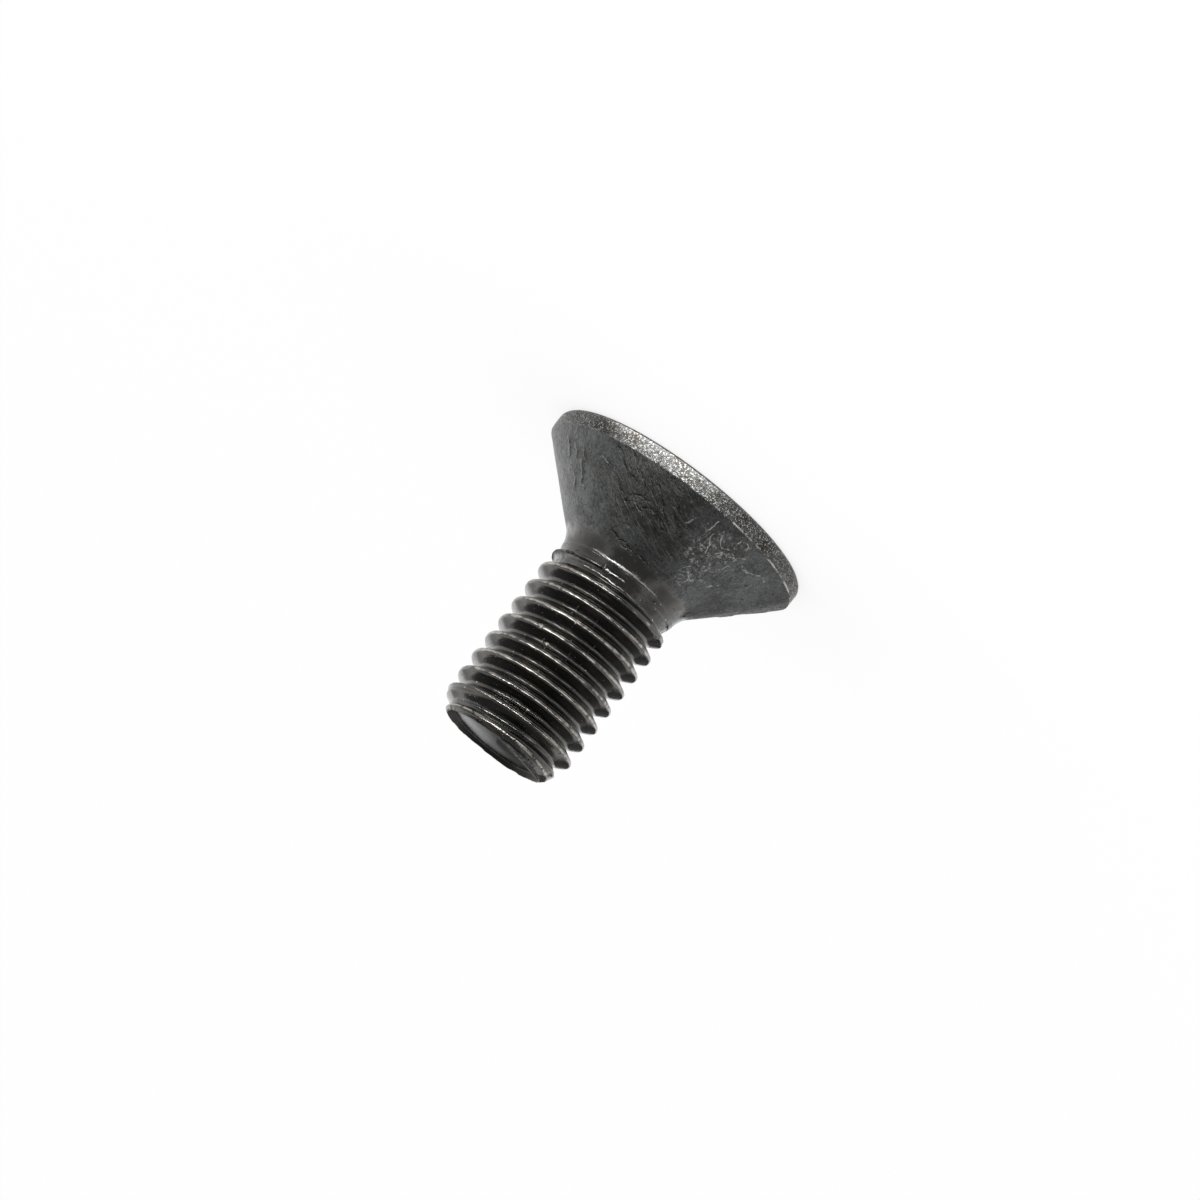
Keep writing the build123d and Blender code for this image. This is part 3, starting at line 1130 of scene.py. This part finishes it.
TENT_R = 0.5
tent_bm = bmesh.new()
bmesh.ops.create_uvsphere(tent_bm, u_segments=32, v_segments=16, radius=TENT_R)
tree, glow, place = reflection_only("white_tent", tent_bm)
place = vector_node(tree, "DIVIDE", place, (TENT_R, TENT_R, TENT_R))
side, back, up = parts_of(tree, place)
aside = math_node(tree, "ABSOLUTE", side)
level = ramp(tree, back, -0.35, 0.75, 0.22, 1.0)
level = math_node(tree, "ADD", level, ramp(tree, up, 0.80, 1.0, 0.0, 0.05))
level = math_node(tree, "ADD", level, ramp(tree, aside, 0.35, 0.70, 0.0, 0.22))
band = product(tree, ramp(tree, aside, 0.50, 0.64), ramp(tree, aside, 0.70, 0.84, 1.0, 0.0))
level = math_node(tree, "MULTIPLY_ADD", band, 0.22, level)
bright_side = product(tree, ramp(tree, side, -0.05, 0.35), ramp(tree, back, 0.6, 0.95, 0.0, 0.35))
level = math_node(tree, "ADD", level, bright_side)
level = darkened(tree, level, 0.82, ramp(tree, up, 0.62, 0.74), ramp(tree, back, -0.12, 0.10),
                 ramp(tree, aside, 0.42, 0.58, 1.0, 0.0))
level = darkened(tree, level, 0.90, ramp(tree, side, -0.03, 0.08, 1.0, 0.0),
                 ramp(tree, side, -0.75, -0.5), ramp(tree, back, 0.5, 0.75),
                 ramp(tree, up, 0.35, 0.55, 1.0, 0.0))
level = darkened(tree, level, 0.60, ramp(tree, up, 0.26, 0.42), ramp(tree, back, 0.70, 0.85))
tree.links.new(level, glow.inputs["Strength"])

CARD_SIZE = 0.15
card_bm = bmesh.new()
bmesh.ops.create_grid(card_bm, x_segments=1, y_segments=1, size=CARD_SIZE,
                      matrix=Matrix.Translation((0, -CARD_SIZE, 0.0002)))
tree, glow, place = reflection_only("dark_card", card_bm)
side, back, _ = parts_of(tree, place)
level = ramp(tree, back, -0.034, -0.008, 0.12, 0.75)
arc = ramp(tree, vector_node(tree, "DISTANCE", place, (0, 0, 0)), 0.0128, 0.0137, 1.0, 0.0)
arc = product(tree, arc, ramp(tree, side, -0.0030, 0.0010), ramp(tree, side, 0.0080, 0.0050))
tree.links.new(math_node(tree, "MULTIPLY_ADD", arc, 5.0, level), glow.inputs["Strength"])
print("tent", TENT_R, "m in radius, card", 2 * CARD_SIZE, "m wide")


# %% [markdown]
# ## The lamp
#
# A long, low row of narrow strip lamps stands in front, brightest a little towards +X and
# fading towards both ends, so that no end shows as a hard edge in the metal. It draws the thin
# bright line on every crest and root, and makes the grains of the rim sparkle.

# %% Key lamp
def soft_box(name, azimuth, elevation, distance, width, height, radiance, target):
    """A softbox facing the target; azimuth is counted from the -Y side towards +X."""
    light = bpy.data.lights.new(name, "AREA")
    light.shape = "RECTANGLE"
    light.size = width
    light.size_y = height
    light.energy = radiance * math.pi * width * height
    holder = bpy.data.objects.new(name, light)
    bpy.context.scene.collection.objects.link(holder)
    turn, tilt = math.radians(azimuth), math.radians(elevation)
    outward = Vector((math.sin(turn), -math.cos(turn), 0))
    away = outward * math.cos(tilt) + Vector((0, 0, math.sin(tilt)))
    holder.location = target + away * distance
    holder.rotation_euler = away.to_track_quat("Z", "Y").to_euler()
    holder.visible_camera = False


middle = Vector((0, 0, length * MM / 2))
LAMP_TILT, LAMP_DISTANCE, LAMP_WIDTH, LAMP_HEIGHT = 3, 0.30, 0.079, 0.012
ROW = ((-57, 4), (-42, 6), (-27, 8), (-12, 12), (3, 20), (18, 36), (33, 40), (48, 26), (63, 12))
for turn, radiance in ROW:
    soft_box("key_" + str(turn), turn, LAMP_TILT, LAMP_DISTANCE, LAMP_WIDTH, LAMP_HEIGHT,
             radiance, middle)
print("lamps in the row:", len(ROW))

# %% [markdown]
# ## Camera
#
# The screw stands on its head, and the camera is rolled instead, so that the picture shows it
# tip down and leaning. A long lens from a metre away keeps the sides almost parallel.

# %% Camera
camera_tilt = math.radians(13.4)
camera_roll = math.radians(217.6)
frame_width = 80.6 * MM
aim_height = 8.05 * MM
off_side, off_up = 0.73 * MM, 0.42 * MM   # the point aimed at is off the frame's middle
lens, sensor = 500, 36

camera = bpy.data.cameras.new("camera")
camera.lens = lens
camera.sensor_width = sensor
camera.clip_end = 100
camera_object = bpy.data.objects.new("camera", camera)
bpy.context.scene.collection.objects.link(camera_object)
bpy.context.scene.camera = camera_object
to_camera = Vector((0, -math.cos(camera_tilt), math.sin(camera_tilt)))
turned = to_camera.to_track_quat("Z", "Y").to_matrix() @ Matrix.Rotation(camera_roll, 3, "Z")
aim = Vector((0, 0, aim_height)) - turned.col[0] * off_side - turned.col[1] * off_up
distance = frame_width * lens / sensor
camera_object.matrix_world = Matrix.Translation(aim + to_camera * distance) @ turned.to_4x4()
bpy.context.scene.view_settings.view_transform = "Standard"
print("camera", round(distance, 3), "m away")
